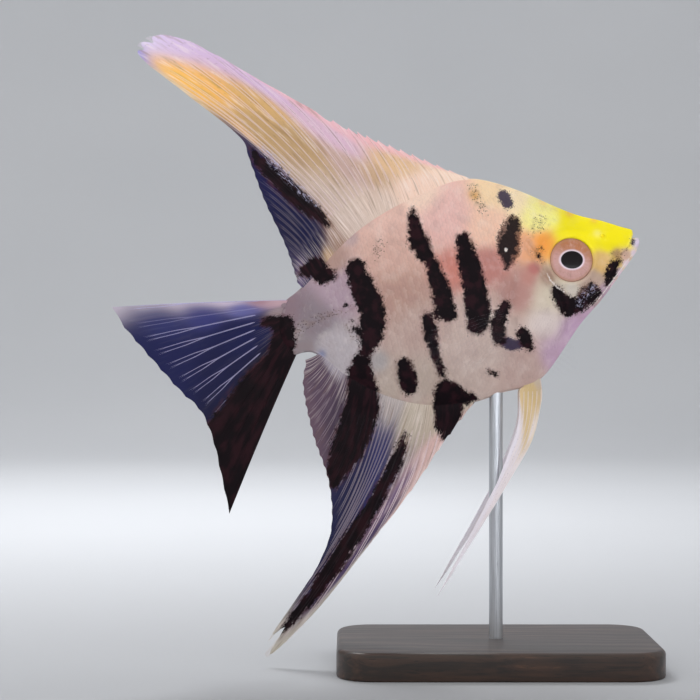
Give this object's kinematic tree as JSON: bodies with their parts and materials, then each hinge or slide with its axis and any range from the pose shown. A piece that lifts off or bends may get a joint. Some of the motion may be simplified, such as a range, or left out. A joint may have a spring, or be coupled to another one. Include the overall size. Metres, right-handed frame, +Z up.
{
  "type": "marble angelfish display model",
  "caption": "Life-size angelfish with tall swept fins and black marbled flanks under a golden crown, held over a plain flat base by one rod.",
  "frame": {"origin": "middle of the flat underside of the stand's base, on the floor", "axes": "+X the way the fish looks, +Y towards its left side, +Z up"},
  "size_m": [0.1196, 0.044, 0.1391],
  "materials": {
    "skin": "satin skin of fine pearly scales, gold on the crown, black marbled marks on the flanks",
    "rayed_fin": "rayed fin, rose, yellow and lavender with black bands and smoky clear parts",
    "tail_fin": "clear smoky web with pale blue rays and a black lower lobe",
    "clear_fin": "nearly clear web with fine pale rays",
    "pelvic_fin": "cream fin with a white leading edge and filament",
    "eye": "black pupil in a pale mauve and tan iris under a clear gloss",
    "base_wood": "dark stained wood with a satin lacquer",
    "rod_steel": "brushed steel"
  },
  "bodies": {
    "root": {"head": "skin", "lower_jaw": "skin", "gill_cover_right": "skin", "gill_cover_left": "skin", "trunk": "skin", "tail_stalk": "skin", "dorsal_fin": "rayed_fin", "anal_fin": "rayed_fin", "tail_fin": "tail_fin", "pectoral_fin_right": "clear_fin", "pectoral_fin_left": "clear_fin", "pelvic_fin_right": "pelvic_fin", "pelvic_fin_left": "pelvic_fin", "eye_right": "eye", "eye_left": "eye", "stand_base": "base_wood", "stand_rod": "rod_steel"}
  },
  "joints": []
}
